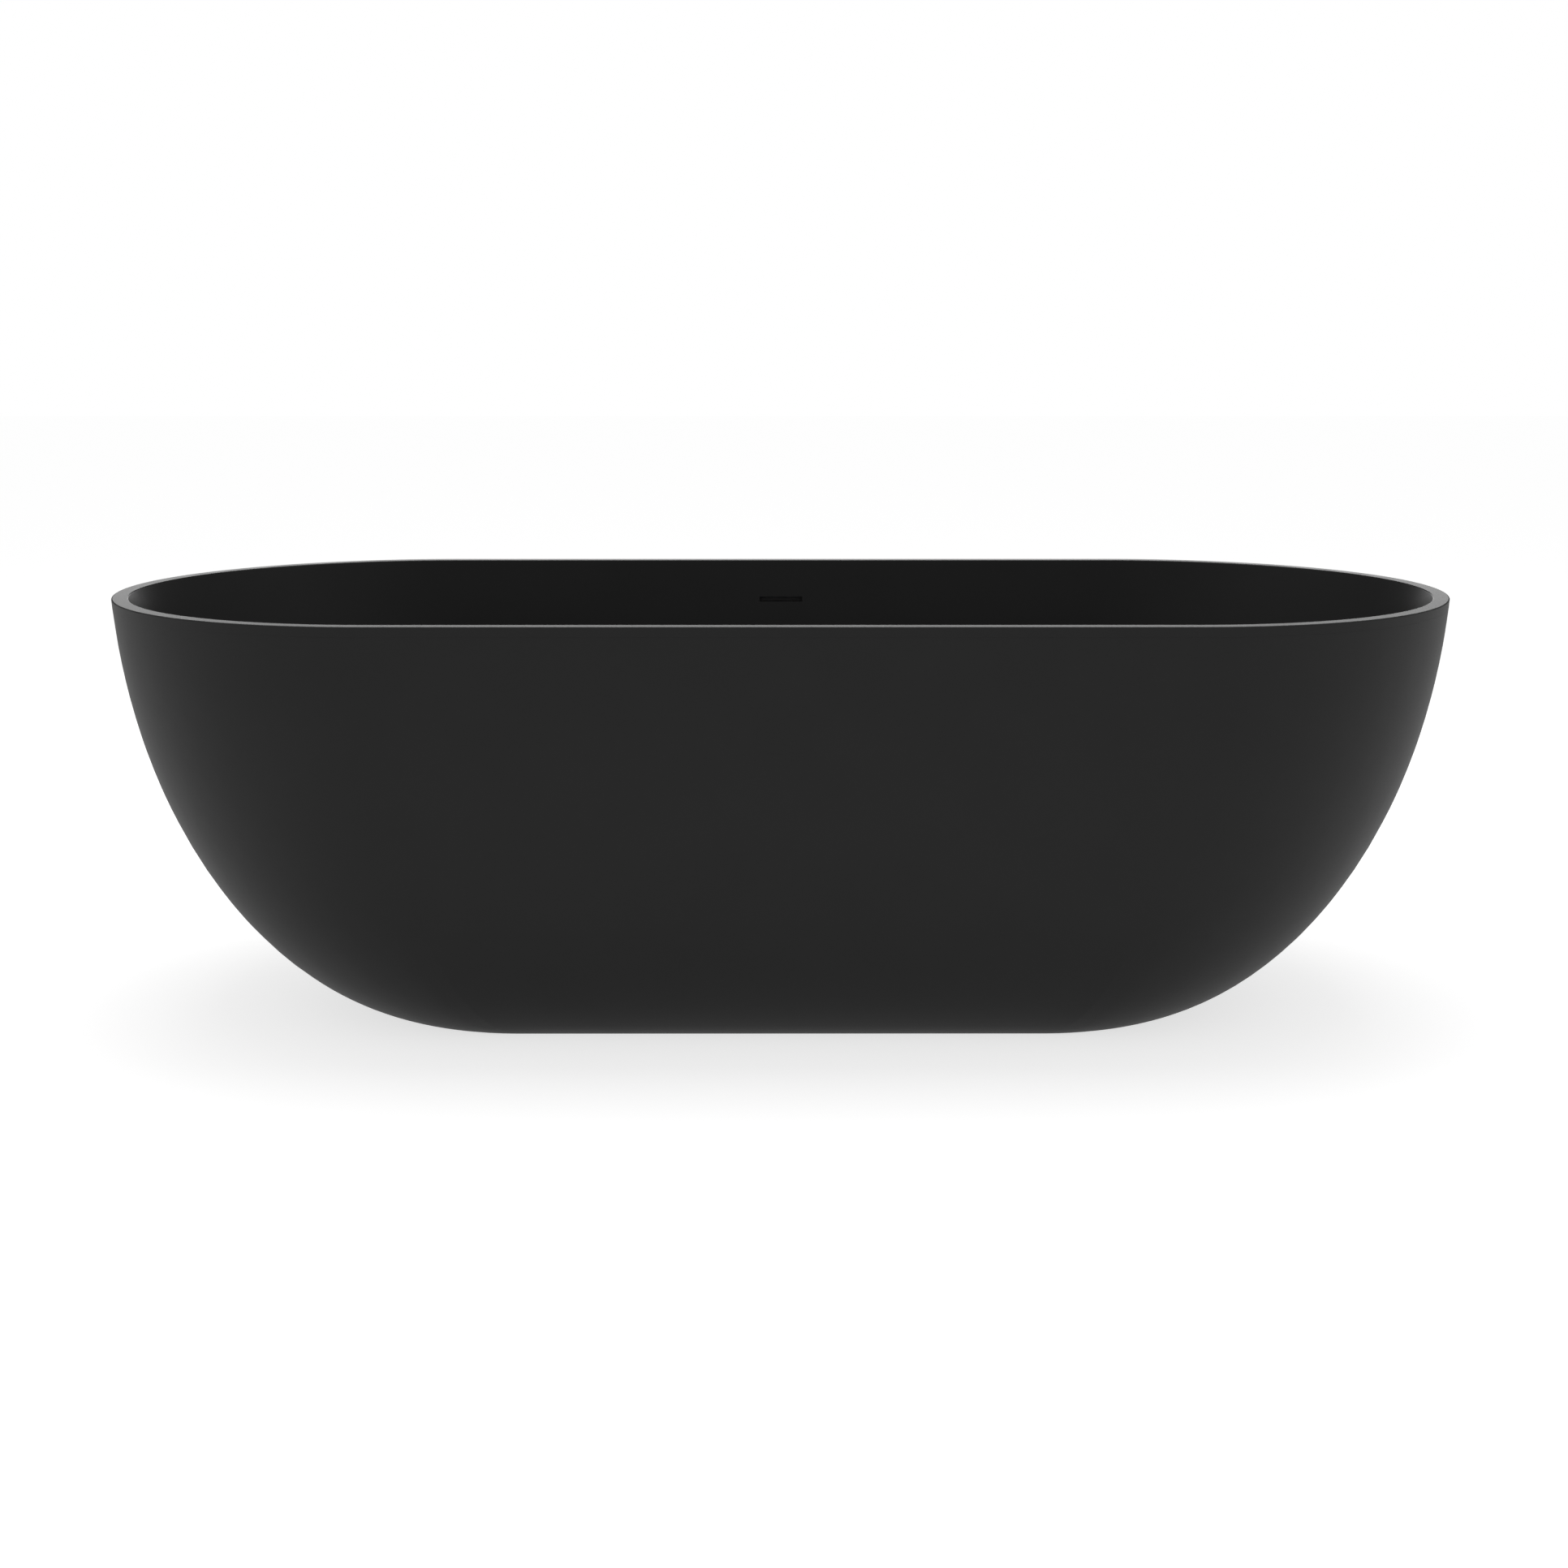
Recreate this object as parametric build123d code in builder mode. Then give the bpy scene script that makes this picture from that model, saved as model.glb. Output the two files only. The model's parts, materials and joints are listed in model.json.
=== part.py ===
from build123d import *
import os
from math import cos, hypot, radians, sin, sqrt, tan

# Freestanding double-skinned bath in cast stone resin, with a slot overflow in the back wall,
# a push-to-open waste in the middle of the floor and four levelling feet.
# Millimetres. X runs along the bath, the overflow is on the +Y side, +Z is up, and the origin is
# on the floor under the middle of the bath.

# ---- Overall form ----------------------------------------------------------------------------
bath_length = 1700.0
bath_width = 750.0
bath_height = 540.0
base_length = 995.0  # outline that the outer wall curves down to
base_width = 351.0
upright_rise = 72.4  # how far above the rim the outer wall would stand upright
wall_power_up = 2.155  # exponents of the outer wall's superellipse, upwards and outwards
wall_power_out = 1.733
foot_cut = 3.0  # the curve is cut this far above its base outline, which leaves a firm foot edge
rim_width = 20.0
rim_thickness = 12.0
rim_arris = 1.5
skin = 8.0

# ---- Outer shell -----------------------------------------------------------------------------
foot_ring_width = 45.0
foot_ring_thickness = 12.0
tongue_thickness = 4.0
tongue_height = 5.0
bond_gap = 0.2  # glue line beside the tongue

# ---- Inner basin -----------------------------------------------------------------------------
basin_floor_height = 105.0
basin_floor_thickness = 12.0
basin_floor_fall = 6.0
basin_floor_round = 90.0
funnel_straight = 4.0  # half-length of the straight side where the floor's fall ends
side_lean = 15.0  # degrees from upright
end_lean = 27.0

# ---- Slot overflow ---------------------------------------------------------------------------
slot_depth_below_rim = 55.0
slot_width = 62.0
slot_height = 7.0
pad_thickness = 1.5
gasket_thickness = 1.5
hood_plate = 2.5
hood_wall = 2.0
hood_chamber_width = 70.0
hood_chamber_above_slot = 14.0
hood_to_shell = 1.4
hood_ear = 15.0  # plate width beside the chamber, for the screws
hood_border = 2.0  # plate height above and below the chamber
hood_corner = 8.0
pad_border = 6.0  # how far the basin's flat pad stands out round the hood's plate
screw_radius = 2.0
screw_length = 10.0
screw_head_radius = 3.75
screw_head_height = 2.6
screw_clearance = 0.2
thread_gap = 0.05

# ---- Overflow hose ---------------------------------------------------------------------------
hose_radius = 10.0
hose_wall = 2.0
hose_fit = 0.1  # between the spigots and the hose bore
hose_bend = 150.0
hose_to_basin = 1.8
hose_to_shell = 1.6
spigot_length = 22.0
spigot_wall = 1.7
spigot_collar = 6.0
clip_width = 9.0
clip_thickness = 1.1
clip_ear = 5.0

# ---- Waste -----------------------------------------------------------------------------------
tail_radius = 23.9
tail_wall = 2.9
tail_free_length = 21.0  # left below the back nut for the trap
tail_lead_in = 1.0
thread_relief_width = 1.5  # groove between the back nut and the trap's thread
thread_relief_depth = 0.8
tail_gap = 0.1
drain_hole_gap = 1.1
waste_boss_width = 24.0
waste_boss_drop = 8.0
flange_radius = 35.0
flange_thickness = 2.5
flange_seat_radius = 29.5
flange_seat_depth = 1.9
flange_recess_gap = 1.0
flange_seal_thickness = 1.5
banjo_seal_thickness = 3.0
seal_inset = 1.0  # the seals stop this far inside the edge of what squeezes them
banjo_radius = 33.0
banjo_height = 30.0
banjo_wall = 3.0
tail_slot_count = 6
tail_slot_width = 8.0
tail_slot_height = 16.0
nut_across_flats = 60.0
nut_thickness = 10.0
crossbar_thickness = 5.0
crossbar_drop = 14.0  # below the bath floor at the drain, to the crossbar's top
crossbar_hub_wall = 3.5
spoke_width = 4.0

# ---- Push-to-open plug -----------------------------------------------------------------------
plug_travel = 9.0
cartridge_radius = 9.0
cartridge_wall = 2.2
cartridge_below_crossbar = 23.0
cartridge_above_crossbar = 8.0
cartridge_end = 2.0
cartridge_hex_thickness = 3.0
stem_radius = 4.0
stem_collar_radius = 6.5
stem_collar_thickness = 3.0
stem_gap = 0.1
spring_radius = 5.2
spring_wire = 1.1  # square wire
spring_turns = 4.5
spring_end_gap = 0.1
cap_radius = 31.5
cap_edge = 3.0
cap_crown = 2.5
cap_over_flange = 1.5
cap_boss_radius = 7.5
cap_boss_drop = 5.0
seal_to_seat = 0.35
seal_into_seat = 1.75

# ---- Levelling feet --------------------------------------------------------------------------
foot_boss_radius = 22.0
foot_boss_drop = 23.0
foot_setback = 22.0  # from the boss to the edge of the flat floor
pad_to_foot_ring = 12.0
insert_radius = 9.0
insert_length = 18.0
insert_flange_radius = 13.0
insert_flange_thickness = 2.0
cast_gap = 0.05
stud_radius = 6.0
stud_neck_radius = 5.0
stud_in_insert = 16.0
stud_hex = 17.0
stud_hex_height = 8.0
lock_nut_across_flats = 19.0
lock_nut_thickness = 7.0
foot_pad_radius = 25.0
foot_pad_edge = 4.0
foot_pad_height = 12.0
sole_thickness = 3.0
swivel_radius = 7.0
swivel_height = 5.0
swivel_gap = 0.1

FULL_TURN = 360
BEYOND = 1.0  # how far a cutting tool runs past the face that it starts from

os.makedirs("parts", exist_ok=True)


def save(piece, label):
    """Label a finished piece and write it to its own file."""
    piece.part.label = label
    export_step(piece.part, f"parts/{label}.step")


# ---- Outlines --------------------------------------------------------------------------------
# Every level section of the bath is a stadium: two straight sides and two half-round ends. An
# outline function gives the stadium's half-length and half-width at a height.


def wall_curve(rise):
    """Quarter superellipse: how far out the wall has come at a rise above its base outline."""
    upright_height = bath_height + upright_rise
    left_to_climb = (upright_height - rise) / upright_height
    return (1 - left_to_climb**wall_power_up) ** (1 / wall_power_out)


def outer_outline(height):
    """Outside of the outer wall."""
    share = wall_curve(height + foot_cut) / wall_curve(bath_height + foot_cut)
    half_length = base_length / 2 + (bath_length - base_length) / 2 * share
    half_width = base_width / 2 + (bath_width - base_width) / 2 * share
    return half_length, half_width


def shell_inside_outline(height):
    """Cavity side of the outer wall: the outside, moved in by the skin square to the wall."""
    upper = outer_outline(height + 0.5)
    lower = outer_outline(height - 0.5)
    half_length, half_width = outer_outline(height)
    end_slope = upper[0] - lower[0]
    side_slope = upper[1] - lower[1]
    return half_length - skin * hypot(1, end_slope), half_width - skin * hypot(1, side_slope)


def basin_outline(height, wall=0.0, floor=0.0):
    """Water side of the basin, or its cavity side when a wall and a floor are added to it.

    The walls lean out in a straight line from a rounded foot.
    """
    foot_round = basin_floor_round + floor
    rise = height - basin_floor_height + floor
    tuck = foot_round - sqrt(foot_round**2 - max(foot_round - rise, 0) ** 2)
    depth = bath_height - height
    side = radians(side_lean)
    end = radians(end_lean)
    half_length = bath_length / 2 - rim_width - depth * tan(end) + wall / cos(end) - tuck
    half_width = bath_width / 2 - rim_width - depth * tan(side) + wall / cos(side) - tuck
    return half_length, half_width


def basin_back_outline(height):
    """Cavity side of the basin."""
    return basin_outline(height, skin, basin_floor_thickness)


def inset(outline, distance):
    """An outline moved in all round by a distance."""
    return outline[0] - distance, outline[1] - distance


def stadium(outline, mode=Mode.ADD):
    """Draw an outline in the current sketch."""
    half_length, half_width = outline
    SlotCenterToCenter(2 * (half_length - half_width), 2 * half_width, mode=mode)


def wall_heights(low, high, count=10):
    """Section heights for a curved wall, closer together low down where it curves most."""
    return [low + (high - low) * (step / count) ** 2 for step in range(count + 1)]


def round_heights(low, high):
    """Section heights for the basin's rounded foot, every 15 degrees of its quarter turn."""
    return [low + (high - low) * (1 - cos(radians(turn))) for turn in range(0, 91, 15)]


def lofted(outline, heights, ruled=False):
    """Solid through the outline's sections at these heights."""
    with BuildPart() as form:
        for height in heights:
            with BuildSketch(Plane.XY.offset(height)):
                stadium(outline(height))
        loft(ruled=ruled)
    return form.part


# ---- Levels and places worked out from the sizes above --------------------------------------
seam_height = bath_height - rim_thickness
seam_outline = outer_outline(seam_height)
tongue_outside = (skin - tongue_thickness) / 2  # inwards from the outside of the wall
tongue_inside = (skin + tongue_thickness) / 2
drain_level = basin_floor_height - basin_floor_fall
floor_underside = basin_floor_height - basin_floor_thickness
slot_level = bath_height - slot_depth_below_rim
foot_opening = inset(outer_outline(0), foot_ring_width)

flange_recess_depth = flange_thickness + flange_seal_thickness
flange_underside = drain_level - flange_thickness
recess_level = drain_level - flange_recess_depth
waste_boss_level = floor_underside - waste_boss_drop
waste_boss_radius = tail_radius + waste_boss_width
drain_hole_radius = tail_radius + drain_hole_gap
banjo_top = waste_boss_level - banjo_seal_thickness
banjo_bottom = banjo_top - banjo_height
port_level = (banjo_top + banjo_bottom) / 2
nut_top = banjo_bottom - banjo_seal_thickness
nut_bottom = nut_top - nut_thickness
tail_bottom = nut_bottom - tail_free_length
tail_bore = tail_radius - tail_wall
seat_foot_radius = tail_bore + tail_wall / 2  # lower end of the plug's conical seat
seat_run = flange_seat_radius - seat_foot_radius
crossbar_top = drain_level - crossbar_drop
crossbar_bottom = crossbar_top - crossbar_thickness

floor_edge = basin_outline(basin_floor_height)
floor_flat = basin_back_outline(floor_underside)
foot_inside_floor = inset(floor_flat, foot_boss_radius + foot_setback)
foot_inside_ring = inset(foot_opening, foot_pad_radius + pad_to_foot_ring)
foot_y = min(foot_inside_floor[1], foot_inside_ring[1])
foot_x = min(
    foot_inside_floor[0] - foot_inside_floor[1],
    foot_inside_ring[0] - foot_inside_ring[1],
)
foot_places = {
    "front_left": (-foot_x, -foot_y),
    "front_right": (foot_x, -foot_y),
    "back_left": (-foot_x, foot_y),
    "back_right": (foot_x, foot_y),
}
foot_boss_level = floor_underside - foot_boss_drop
insert_flange_level = foot_boss_level - insert_flange_thickness

# The overflow parts stand on the leaning cavity side of the basin. In this plane x is along the
# bath, y is up the wall, and z is out from the wall.
side_angle = radians(side_lean)
overflow_plane = Plane(
    origin=(0, basin_back_outline(slot_level)[1], slot_level),
    x_dir=(-1, 0, 0),
    z_dir=(0, cos(side_angle), -sin(side_angle)),
)
hood_seat = pad_thickness + gasket_thickness
spigot_radius = hose_radius - hose_wall - hose_fit
spigot_bore = spigot_radius - spigot_wall


def cavity_depth(height):
    """How far the shell stands from the basin's wall behind the overflow."""
    return shell_inside_outline(height)[1] - basin_back_outline(height)[1]


def hood_depth(drop):
    """Depth of the hood's chamber that the cavity allows, this far down the wall from the slot."""
    return cavity_depth(slot_level - drop * cos(side_angle)) - hood_seat - hood_to_shell


# The hose starts where the cavity has become wide enough for it, and the hood reaches down to it.
hose_start_level = slot_level
while cavity_depth(hose_start_level) < hose_to_basin + 2 * hose_radius + hose_to_shell:
    hose_start_level -= 1
hose_offset = hose_to_basin + hose_radius  # from the basin's wall to the hose's centre line
hose_start_down = (slot_level - hose_start_level) / cos(side_angle)
hose_end_y = banjo_radius + spigot_collar
hood_chamber_below_slot = hose_start_down - spigot_collar - hood_border
hood_depth_top = hood_depth(-hood_chamber_above_slot)
hood_depth_bottom = hood_depth(hood_chamber_below_slot)
chamber_height = hood_chamber_above_slot + hood_chamber_below_slot
chamber_middle = (hood_chamber_above_slot - hood_chamber_below_slot) / 2
plate_width = hood_chamber_width + 2 * hood_ear
plate_height = chamber_height + 2 * hood_border
screw_x = (plate_width + hood_chamber_width) / 4
screw_spread = chamber_height / 2 - screw_head_radius


def overflow_screw_places():
    """Screw positions in the overflow plane."""
    return [
        (side * screw_x, chamber_middle + end * screw_spread) for side in (-1, 1) for end in (-1, 1)
    ]


# ---- Outer shell: curved wall, foot ring and the tongue that locates the basin ---------------
bath_form = lofted(outer_outline, wall_heights(0, bath_height))
shell_core = lofted(shell_inside_outline, wall_heights(foot_ring_thickness, seam_height))

with BuildPart() as outer_shell:
    add(bath_form)
    split(bisect_by=Plane.XY.offset(seam_height), keep=Keep.BOTTOM)
    add(shell_core, mode=Mode.SUBTRACT)
    with BuildSketch(Plane.XY.offset(-BEYOND)):
        stadium(foot_opening)
    extrude(amount=foot_ring_thickness + 2 * BEYOND, mode=Mode.SUBTRACT)
    with BuildSketch(Plane.XY.offset(seam_height)):
        stadium(inset(seam_outline, tongue_outside))
        stadium(inset(seam_outline, tongue_inside), mode=Mode.SUBTRACT)
    extrude(amount=tongue_height)
save(outer_shell, "outer_shell")

# ---- Inner basin: rim, leaning walls, rounded foot and a floor that falls to the drain -------
wall_start = basin_floor_height + basin_floor_round
back_of_foot = lofted(basin_back_outline, round_heights(floor_underside, wall_start))
back_of_wall = lofted(basin_back_outline, [wall_start, seam_height + BEYOND], ruled=True)
water_in_foot = lofted(basin_outline, round_heights(basin_floor_height, wall_start))
water_in_wall = lofted(basin_outline, [wall_start, bath_height], ruled=True)

with BuildPart() as inner_basin:
    add(bath_form)
    split(bisect_by=Plane.XY.offset(seam_height), keep=Keep.TOP)
    add(back_of_foot)
    add(back_of_wall)
    add(water_in_foot, mode=Mode.SUBTRACT)
    add(water_in_wall, mode=Mode.SUBTRACT)
    # Groove under the rim for the shell's tongue.
    with BuildSketch(Plane.XY.offset(seam_height)):
        stadium(inset(seam_outline, tongue_outside - bond_gap))
        stadium(inset(seam_outline, tongue_inside + bond_gap), mode=Mode.SUBTRACT)
    extrude(amount=tongue_height + bond_gap, mode=Mode.SUBTRACT)
    # Boss round the drain, bosses for the feet, and the flat pad behind the overflow slot.
    with BuildSketch(Plane.XY.offset(waste_boss_level)):
        Circle(waste_boss_radius)
    extrude(amount=waste_boss_drop + BEYOND)
    with BuildSketch(Plane.XY.offset(foot_boss_level)):
        with Locations(*foot_places.values()):
            Circle(foot_boss_radius)
    extrude(amount=foot_boss_drop + BEYOND)
    with BuildSketch(overflow_plane.offset(-BEYOND)):
        with Locations((0, chamber_middle)):
            RectangleRounded(
                plate_width + 2 * pad_border,
                plate_height + 2 * pad_border,
                hood_corner + pad_border,
            )
    extrude(amount=pad_thickness + BEYOND)
    # The floor's fall: a shallow funnel from the foot's round to the edge of the drain.
    with BuildSketch(Plane.XY.offset(basin_floor_height)):
        stadium(floor_edge)
    with BuildSketch(Plane.XY.offset(drain_level)):
        stadium((waste_boss_radius + funnel_straight, waste_boss_radius))
    loft(ruled=True, mode=Mode.SUBTRACT)
    # Recess for the waste flange, and the drain hole.
    with BuildSketch(Plane.XY.offset(recess_level)):
        Circle(flange_radius + flange_recess_gap)
    extrude(amount=flange_recess_depth + basin_floor_fall, mode=Mode.SUBTRACT)
    with BuildSketch(Plane.XY.offset(waste_boss_level - BEYOND)):
        Circle(drain_hole_radius)
    extrude(amount=basin_floor_height - waste_boss_level, mode=Mode.SUBTRACT)
    # Overflow slot, straight through the back wall, and pilot holes for the hood's screws.
    with BuildSketch(Plane.XZ.offset(-basin_back_outline(slot_level)[1] + 3 * skin)):
        with Locations((0, slot_level)):
            Rectangle(slot_width, slot_height)
    extrude(amount=-6 * skin, mode=Mode.SUBTRACT)
    pilot_depth = screw_length - hood_plate - gasket_thickness + 2 * screw_clearance
    with BuildSketch(overflow_plane.offset(pad_thickness)):
        with Locations(*overflow_screw_places()):
            Circle(screw_radius + thread_gap)
    extrude(amount=-pilot_depth, mode=Mode.SUBTRACT)
    # Blind holes for the cast-in inserts of the feet.
    with BuildSketch(Plane.XY.offset(foot_boss_level)):
        with Locations(*foot_places.values()):
            Circle(insert_radius + cast_gap)
    extrude(amount=insert_length + cast_gap, mode=Mode.SUBTRACT)
    fillet(inner_basin.edges().group_by(Axis.Z)[-1], rim_arris)
save(inner_basin, "inner_basin")

# ---- Slot overflow: gasket, hood and screws --------------------------------------------------
with BuildPart() as overflow_gasket:
    with BuildSketch(overflow_plane.offset(pad_thickness)):
        with Locations((0, chamber_middle)):
            RectangleRounded(plate_width, plate_height, hood_corner)
            RectangleRounded(
                hood_chamber_width - 2 * hood_wall,
                chamber_height - 2 * hood_wall,
                hood_wall,
                mode=Mode.SUBTRACT,
            )
        with Locations(*overflow_screw_places()):
            Circle(screw_radius + screw_clearance, mode=Mode.SUBTRACT)
    extrude(amount=gasket_thickness)
save(overflow_gasket, "overflow_gasket")

# The hood is a wedge that deepens downwards, where the cavity is wider, on a screwed plate.
hood_plane = overflow_plane.offset(hood_seat)
hood_side = Plane(origin=hood_plane.origin, x_dir=hood_plane.y_dir, z_dir=hood_plane.x_dir)
spigot_start = overflow_plane.from_local_coords((0, -hood_chamber_below_slot, hose_offset))
spigot_plane = Plane(origin=spigot_start, x_dir=(1, 0, 0), z_dir=-overflow_plane.y_dir)


def hood_section(wall, mouth):
    """Corners of the chamber's side view, moved in by a wall, with its open side at the mouth."""
    top = hood_chamber_above_slot - wall
    bottom = wall - hood_chamber_below_slot
    return [
        (top, mouth),
        (top, hood_depth_top - wall),
        (bottom, hood_depth_bottom - wall),
        (bottom, mouth),
    ]


with BuildPart() as overflow_hood:
    with BuildSketch(hood_plane):
        with Locations((0, chamber_middle)):
            RectangleRounded(plate_width, plate_height, hood_corner)
    extrude(amount=hood_plate)
    with BuildSketch(hood_side):
        Polygon(*hood_section(0, 0), align=None)
    extrude(amount=hood_chamber_width / 2, both=True)
    fillet(
        overflow_hood.edges().filter_by(lambda edge: edge.length > hood_chamber_width - 1)
        .sort_by(Axis(hood_plane.origin, hood_plane.z_dir))[-2:],
        hood_wall,
    )
    with BuildSketch(spigot_plane):
        Circle(spigot_radius)
    extrude(amount=hood_border + spigot_collar + spigot_length)
    with BuildSketch(spigot_plane.offset(hood_border)):
        Circle(hose_radius)
    extrude(amount=spigot_collar)
    with BuildSketch(hood_side):
        Polygon(*hood_section(hood_wall, -BEYOND), align=None)
    extrude(amount=hood_chamber_width / 2 - hood_wall, both=True, mode=Mode.SUBTRACT)
    with BuildSketch(spigot_plane.offset(-2 * hood_wall)):
        Circle(spigot_bore)
    extrude(amount=3 * hood_wall + spigot_collar + spigot_length + BEYOND, mode=Mode.SUBTRACT)
    with BuildSketch(hood_plane.offset(-BEYOND)):
        with Locations(*overflow_screw_places()):
            Circle(screw_radius + screw_clearance)
    extrude(amount=hood_plate + 2 * BEYOND, mode=Mode.SUBTRACT)
save(overflow_hood, "overflow_hood")

with BuildPart() as overflow_screws:
    for place in overflow_screw_places():
        with BuildSketch(hood_plane.offset(hood_plate)):
            with Locations(place):
                Circle(screw_head_radius)
        extrude(amount=screw_head_height)
        with BuildSketch(hood_plane.offset(hood_plate)):
            with Locations(place):
                Circle(screw_radius)
        extrude(amount=-screw_length)
    heads = overflow_screws.faces().sort_by(Axis(hood_plane.origin, hood_plane.z_dir))[-4:]
    chamfer(heads.edges(), screw_head_height / 3)
save(overflow_screws, "overflow_screws")

# ---- Overflow hose and its clips -------------------------------------------------------------
# The hose runs down the cavity beside the basin's wall, turns under the bath and ends level on
# the waste body's spigot.
hose_start = overflow_plane.from_local_coords((0, -hose_start_down, hose_offset))
down_the_wall = -overflow_plane.y_dir
hose_corner = hose_start + down_the_wall * ((hose_start.Z - port_level) / -down_the_wall.Z)
hose_end = Vector(0, hose_end_y, port_level)

with BuildPart() as overflow_hose:
    with BuildLine():
        FilletPolyline(hose_start, hose_corner, hose_end, radius=hose_bend)
    with BuildSketch(Plane(origin=hose_start, x_dir=(1, 0, 0), z_dir=down_the_wall)):
        Circle(hose_radius)
        Circle(hose_radius - hose_wall, mode=Mode.SUBTRACT)
    sweep()
save(overflow_hose, "overflow_hose")

clip_planes = [
    Plane(
        origin=hose_start + down_the_wall * (spigot_length - clip_width) / 2,
        x_dir=(1, 0, 0),
        z_dir=down_the_wall,
    ),
    Plane(
        origin=hose_end + Vector(0, (spigot_length - clip_width) / 2, 0),
        x_dir=(1, 0, 0),
        z_dir=(0, 1, 0),
    ),
]
with BuildPart() as hose_clips:
    for plane in clip_planes:
        with BuildSketch(plane):
            clip_inside = hose_radius + hose_fit
            Circle(clip_inside + clip_thickness)
            for side in (-1, 1):
                with Locations((clip_inside + clip_ear / 2, side * clip_thickness)):
                    Rectangle(clip_ear + clip_thickness, clip_thickness)
            Circle(clip_inside, mode=Mode.SUBTRACT)
        extrude(amount=clip_width)
save(hose_clips, "hose_clips")

# ---- Waste: flange, seals, overflow banjo and back nut, all round the drain's axis -----------
with BuildPart() as waste_flange:
    with BuildSketch(Plane.XZ):
        Polygon(
            (tail_bore, tail_bottom),
            (tail_radius - tail_lead_in, tail_bottom),
            (tail_radius, tail_bottom + tail_lead_in),
            (tail_radius, nut_bottom - thread_relief_width),
            (tail_radius - thread_relief_depth, nut_bottom - thread_relief_width),
            (tail_radius - thread_relief_depth, nut_bottom),
            (tail_radius, nut_bottom),
            (tail_radius, flange_underside),
            (flange_radius, flange_underside),
            (flange_radius, drain_level - flange_thickness / 3),
            (flange_radius - flange_thickness / 3, drain_level),
            (flange_seat_radius, drain_level),
            (seat_foot_radius, drain_level - flange_seat_depth),
            (tail_bore, drain_level - flange_seat_depth - tail_wall),
            align=None,
        )
    revolve(axis=Axis.Z)
    with BuildSketch(Plane.XY.offset(crossbar_bottom)):
        Circle(cartridge_radius + thread_gap + crossbar_hub_wall)
        with PolarLocations(tail_bore / 2, 4):
            Rectangle(tail_bore + tail_wall, spoke_width)
        Circle(cartridge_radius + thread_gap, mode=Mode.SUBTRACT)
    extrude(amount=crossbar_thickness)
    # Slots that let the overflow's water in from the banjo.
    with BuildSketch(Plane.XY.offset(port_level - tail_slot_height / 2)):
        with PolarLocations(tail_radius, tail_slot_count, start_angle=FULL_TURN / tail_slot_count / 2):
            Rectangle(3 * tail_wall, tail_slot_width)
    extrude(amount=tail_slot_height, mode=Mode.SUBTRACT)
save(waste_flange, "waste_flange")


def washer(inner_radius, outer_radius, bottom, thickness):
    """Flat ring round the drain's axis."""
    with BuildPart() as ring:
        with BuildSketch(Plane.XY.offset(bottom)):
            Circle(outer_radius)
            Circle(inner_radius, mode=Mode.SUBTRACT)
        extrude(amount=thickness)
    return ring


seal_bore = tail_radius + tail_gap
flange_seal = washer(seal_bore, flange_radius - seal_inset, recess_level, flange_seal_thickness)
save(flange_seal, "flange_seal")
banjo_upper_seal = washer(seal_bore, banjo_radius, banjo_top, banjo_seal_thickness)
save(banjo_upper_seal, "banjo_upper_seal")
banjo_lower_seal = washer(seal_bore, banjo_radius - seal_inset, nut_top, banjo_seal_thickness)
save(banjo_lower_seal, "banjo_lower_seal")

with BuildPart() as overflow_banjo:
    with BuildSketch(Plane.XY.offset(banjo_bottom)):
        Circle(banjo_radius)
    extrude(amount=banjo_height)
    chamfer(overflow_banjo.edges(), banjo_wall / 2)
    with BuildSketch(Plane.XZ.offset(-hose_end_y)):
        with Locations((0, port_level)):
            Circle(hose_radius)
    extrude(amount=hose_end_y - banjo_radius / 2)
    with BuildSketch(Plane.XZ.offset(-hose_end_y)):
        with Locations((0, port_level)):
            Circle(spigot_radius)
    extrude(amount=-spigot_length)
    with BuildSketch(Plane.XY.offset(banjo_bottom + banjo_wall)):
        Circle(banjo_radius - banjo_wall)
    extrude(amount=banjo_height - 2 * banjo_wall, mode=Mode.SUBTRACT)
    with BuildSketch(Plane.XY.offset(banjo_bottom - BEYOND)):
        Circle(seal_bore)
    extrude(amount=banjo_height + 2 * BEYOND, mode=Mode.SUBTRACT)
    with BuildSketch(Plane.XZ):
        with Locations((0, port_level)):
            Circle(spigot_bore)
    extrude(amount=-(hose_end_y + spigot_length + BEYOND), mode=Mode.SUBTRACT)
save(overflow_banjo, "overflow_banjo")

with BuildPart() as back_nut:
    with BuildSketch(Plane.XY.offset(nut_bottom)):
        RegularPolygon(nut_across_flats / 2, 6, major_radius=False)
        Circle(seal_bore, mode=Mode.SUBTRACT)
    extrude(amount=nut_thickness)
save(back_nut, "back_nut")

# ---- Push-to-open plug -----------------------------------------------------------------------
cartridge_top = crossbar_top + cartridge_above_crossbar
cartridge_bottom = crossbar_bottom - cartridge_below_crossbar
cartridge_bore = cartridge_radius - cartridge_wall
spring_bottom = cartridge_bottom + cartridge_end + spring_end_gap
collar_top = cartridge_top - cartridge_end - plug_travel - spring_end_gap
collar_bottom = collar_top - stem_collar_thickness
cap_underside = drain_level + cap_over_flange
cap_boss_bottom = cap_underside - cap_boss_drop
stem_top = cap_underside + cap_edge

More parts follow.
